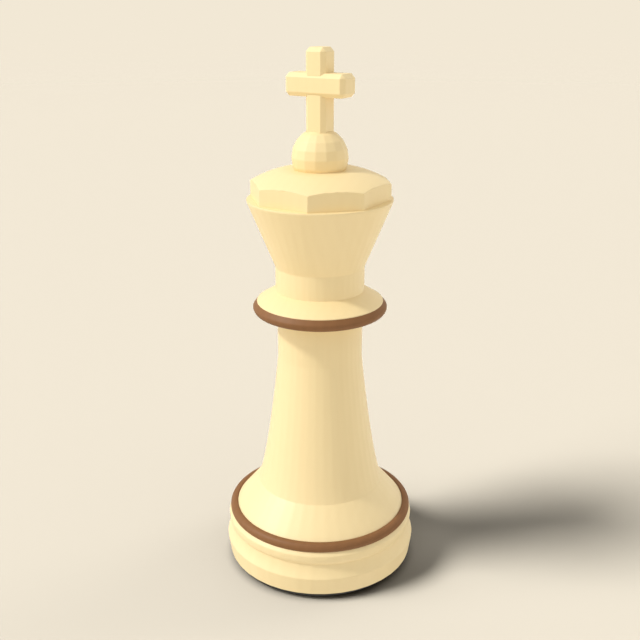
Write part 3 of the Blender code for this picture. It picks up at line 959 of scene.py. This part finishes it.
def make_cross(wood):
    """Post and bar, halved into each other: the bar passes in front, the post behind.

    Each is notched to the other's chamfered section, so that no gap shows round the joint.
    """
    bar_middle = (BAR_BOTTOM + BAR_TOP) / 2.0
    bar_size = Vector((BAR_LENGTH, BAR_THICKNESS, BAR_TOP - BAR_BOTTOM))
    bar_centre = (0.0, 0.0, bar_middle)
    post_size = Vector((POST_WIDTH, POST_WIDTH, POST_TOP - POST_BOTTOM))
    post_centre = (0.0, 0.0, (POST_TOP + POST_BOTTOM) / 2.0)
    glue = 2.0 * GLUE_LINE * Vector((1.0, 1.0, 1.0))

    def every_edge(edge):
        return True

    def above_foot(edge):
        return max(vert.co.z for vert in edge.verts) > bar_middle

    post = chamfered_box("cross_upright", post_size, post_centre, above_foot)
    cut_away(post, keep_half(chamfered_box("post_notch", bar_size + glue, bar_centre, every_edge), -1))
    cut_away(post, dowel_drill(POST_BOTTOM - DRILL_OVERRUN))
    bpy.ops.object.mode_set(mode="EDIT")
    finish_piece(post)
    stand_for(post, "cross_post", wood)

    bar = chamfered_box("cross_arm", bar_size, bar_centre, every_edge)
    cut_away(bar, keep_half(chamfered_box("bar_notch", post_size + glue, post_centre, above_foot), 1))
    slot_size = (POST_WIDTH - 2.0 * CROSS_CHAMFER, POST_WIDTH, 2.0 * bar_size.z)
    cut_away(bar, cutter_box(slot_size, (0.0, POST_WIDTH, bar_middle)))
    bpy.ops.object.mode_set(mode="EDIT")
    finish_piece(bar)
    stand_for(bar, "cross_bar", wood)


def finish_hidden_pieces(wood, steel):
    """The weight, its plug and the dowel keep their solids and get their own finish."""
    for node, material in (("base_weight", steel), ("weight_plug", wood), ("finial_dowel", wood)):
        solid = frame["nodes"][node]
        for place in solid.material_slots:
            place.material = material


def openness(tree, reach, depth):
    """How open the floor lies, from 0 under the king to 1 where nothing stands within reach; used to
    darken the floor's colour as painted shade.
    """
    node = tree.nodes.new("ShaderNodeAmbientOcclusion")
    node.samples = OPENNESS_SAMPLES
    node.inputs["Distance"].default_value = reach
    return math_node(tree, "POWER", node.outputs["AO"], depth)


def make_floor():
    """A pale floor with shade painted into its colour close to the king, that gives way to the like
    backdrop further off.

    For diffuse rays it glows evenly without the shadow, a painted stand-in for the light that it would
    throw back on the king.
    """
    deselect_all()
    bpy.ops.mesh.primitive_plane_add(size=FLOOR_SIZE)
    floor = bpy.context.object
    floor.name = "floor"
    material, tree, shader = new_material("pale_floor")
    # Painted shade: the floor's colour runs towards black as the king hides more of its sky, broadly
    # and at the contact.
    near_shade = openness(tree, NEAR_REACH, NEAR_DEPTH)
    contact_shade = openness(tree, CONTACT_REACH, CONTACT_DEPTH)
    open_sky = math_node(tree, "MULTIPLY", near_shade, contact_shade)
    shaded = mixed_colour(tree, open_sky, FLOOR_SHADE, FLOOR_COLOUR)
    tree.links.new(shaded, shader.inputs["Base Color"])
    shader.inputs["Roughness"].default_value = 1.0
    shader.inputs["Specular IOR Level"].default_value = 0.0

    # Painted light: diffuse rays see the floor glow evenly in this colour, in place of the light it
    # would throw back, without the king's shadow.
    glow = tree.nodes.new("ShaderNodeEmission")
    glow.inputs["Color"].default_value = FLOOR_GLOW
    material.cycles.emission_sampling = "NONE"
    path = tree.nodes.new("ShaderNodeLightPath")
    ground = tree.nodes.new("ShaderNodeMixShader")
    tree.links.new(path.outputs["Is Diffuse Ray"], ground.inputs["Fac"])
    tree.links.new(shader.outputs["BSDF"], ground.inputs[1])
    tree.links.new(glow.outputs["Emission"], ground.inputs[2])

    place = tree.nodes.new("ShaderNodeTexCoord")
    distance = tree.nodes.new("ShaderNodeVectorMath")
    distance.operation = "LENGTH"
    tree.links.new(place.outputs["Object"], distance.inputs[0])
    fade = tree.nodes.new("ShaderNodeMapRange")
    fade.interpolation_type = "SMOOTHSTEP"
    fade.inputs["From Min"].default_value = FLOOR_FADE_START
    fade.inputs["From Max"].default_value = FLOOR_FADE_END
    tree.links.new(distance.outputs["Value"], fade.inputs["Value"])
    clear = tree.nodes.new("ShaderNodeBsdfTransparent")
    blend = tree.nodes.new("ShaderNodeMixShader")
    tree.links.new(fade.outputs["Result"], blend.inputs["Fac"])
    tree.links.new(ground.outputs["Shader"], blend.inputs[1])
    tree.links.new(clear.outputs["BSDF"], blend.inputs[2])
    tree.links.new(blend.outputs["Shader"], tree.nodes["Material Output"].inputs["Surface"])
    floor.data.materials.append(material)
    return floor


def make_sun(name, bearing, elevation, softness, strength):
    """A soft lamp, its bearing measured from the camera's right-hand side towards the back."""
    turn_round = bearing + CAMERA_AZIMUTH
    lamp = bpy.data.lights.new(name, "SUN")
    lamp.energy = strength
    lamp.angle = softness
    sun = bpy.data.objects.new(name, lamp)
    sun.rotation_euler = (math.pi / 2.0 - elevation, 0.0, turn_round + math.pi / 2.0)
    bpy.context.scene.collection.objects.link(sun)
    return sun


def make_bulb(name, place, size, power):
    """A soft round lamp, so far to the camera's right of the axis, behind it and above the floor."""
    lamp = bpy.data.lights.new(name, "POINT")
    lamp.energy = power
    lamp.shadow_soft_size = size
    bulb = bpy.data.objects.new(name, lamp)
    across, deep, height = place
    side = math.cos(CAMERA_AZIMUTH)
    front = math.sin(CAMERA_AZIMUTH)
    bulb.location = (across * side - deep * front, across * front + deep * side, height)
    bpy.context.scene.collection.objects.link(bulb)
    return bulb


def make_lights(floor):
    """A soft key from the left with weaker lamps round it, and stronger ones for the floor alone."""
    stage_set = bpy.data.collections.new("floor_only")
    stage_set.objects.link(floor)
    piece_set = bpy.data.collections.new("king_only")
    solids = list(frame["nodes"].values())
    for piece in bpy.context.scene.objects:
        if piece.type == "MESH" and piece is not floor and piece not in solids:
            piece_set.objects.link(piece)
    key = make_sun("key", KEY_BEARING, KEY_ELEVATION, KEY_SOFTNESS, KEY_STRENGTH)
    side = make_sun("side", KEY_BEARING, SIDE_ELEVATION, SIDE_SOFTNESS, SIDE_STRENGTH)
    back = make_bulb("back", BACK_PLACE, BACK_SIZE, BACK_POWER)
    fill = make_sun("fill", FILL_BEARING, FILL_ELEVATION, FILL_SOFTNESS, FILL_STRENGTH)
    top = make_sun("top", KEY_BEARING, TOP_ELEVATION, TOP_SOFTNESS, TOP_STRENGTH)
    fill.data.use_shadow = False
    back.data.color = BACK_COLOUR
    back.visible_glossy = False
    for lamp in (key, side, back, fill, top):
        lamp.light_linking.receiver_collection = piece_set
    floor_key = make_sun(
        "floor_key", FLOOR_KEY_BEARING, FLOOR_KEY_ELEVATION, FLOOR_KEY_SOFTNESS, FLOOR_KEY_STRENGTH
    )
    floor_side = make_sun(
        "floor_side", FLOOR_KEY_BEARING, FLOOR_SIDE_ELEVATION, FLOOR_SIDE_SOFTNESS, FLOOR_SIDE_STRENGTH
    )
    floor_back = make_sun(
        "floor_back", FLOOR_BACK_BEARING, FLOOR_BACK_ELEVATION, FLOOR_BACK_SOFTNESS, FLOOR_BACK_STRENGTH
    )
    bounce = make_bulb("bounce", BOUNCE_PLACE, BOUNCE_SIZE, BOUNCE_POWER)
    for lamp in (floor_key, floor_side, floor_back, bounce):
        lamp.light_linking.receiver_collection = stage_set


def make_surround():
    """A plain white surround that the camera and reflections see as the pale backdrop."""
    world = bpy.data.worlds.new("surround")
    bpy.context.scene.world = world
    world.use_nodes = True
    tree = world.node_tree
    tree.nodes.clear()
    light = tree.nodes.new("ShaderNodeBackground")
    light.inputs["Color"].default_value = SURROUND_COLOUR
    light.inputs["Strength"].default_value = SURROUND_STRENGTH
    backdrop = tree.nodes.new("ShaderNodeBackground")
    backdrop.inputs["Color"].default_value = BACKDROP
    path = tree.nodes.new("ShaderNodeLightPath")
    seen = math_node(tree, "MAXIMUM", path.outputs["Is Camera Ray"], path.outputs["Is Glossy Ray"])
    seen = math_node(tree, "MAXIMUM", seen, path.outputs["Is Transmission Ray"])
    choose = tree.nodes.new("ShaderNodeMixShader")
    output = tree.nodes.new("ShaderNodeOutputWorld")
    tree.links.new(seen, choose.inputs["Fac"])
    tree.links.new(light.outputs["Background"], choose.inputs[1])
    tree.links.new(backdrop.outputs["Background"], choose.inputs[2])
    tree.links.new(choose.outputs["Shader"], output.inputs["Surface"])


def make_camera():
    """The camera, turned about the king's axis and pitched down at it."""
    lens = bpy.data.cameras.new("photo_camera")
    lens.lens = CAMERA_LENS
    lens.clip_start = CAMERA_NEAR
    lens.clip_end = CAMERA_FAR
    camera = bpy.data.objects.new("photo_camera", lens)
    side = math.sin(CAMERA_AZIMUTH)
    front = math.cos(CAMERA_AZIMUTH)
    camera.location = (CAMERA_DISTANCE * side, -CAMERA_DISTANCE * front, CAMERA_HEIGHT)
    camera.rotation_euler = (math.pi / 2.0 - CAMERA_PITCH, 0.0, CAMERA_AZIMUTH)
    bpy.context.scene.collection.objects.link(camera)
    bpy.context.scene.camera = camera


def main():
    """Makes the camera, the finishes, the pieces from the floor up, and the stage."""
    bpy.context.scene.view_settings.view_transform = "Standard"
    make_camera()

    figure = make_wood_figure()
    marks = make_tool_marks()
    boxwood = make_wood(
        "turned_boxwood", figure, marks, gloss=TURNED_BOXWOOD_GLOSS, turned=True, **BOXWOOD
    )
    planed = make_wood(
        "planed_boxwood", figure, marks, gloss=PLANED_BOXWOOD_GLOSS, turned=False, **BOXWOOD
    )
    walnut = make_wood("turned_walnut", figure, marks, gloss=WALNUT_GLOSS, turned=True, **WALNUT)
    felt = make_felt()
    steel = make_steel(marks)

    make_felt_pad(felt)
    make_base(boxwood)
    make_base_ring(walnut)
    make_shoulder(boxwood)
    make_stem(boxwood)
    make_collar(boxwood)
    make_collar_ring(walnut)
    make_crown(boxwood)
    make_crown_cap(planed)
    make_finial_ball(planed)
    make_cross(planed)
    finish_hidden_pieces(boxwood, steel)

    floor = make_floor()
    make_lights(floor)
    make_surround()
    deselect_all()


main()
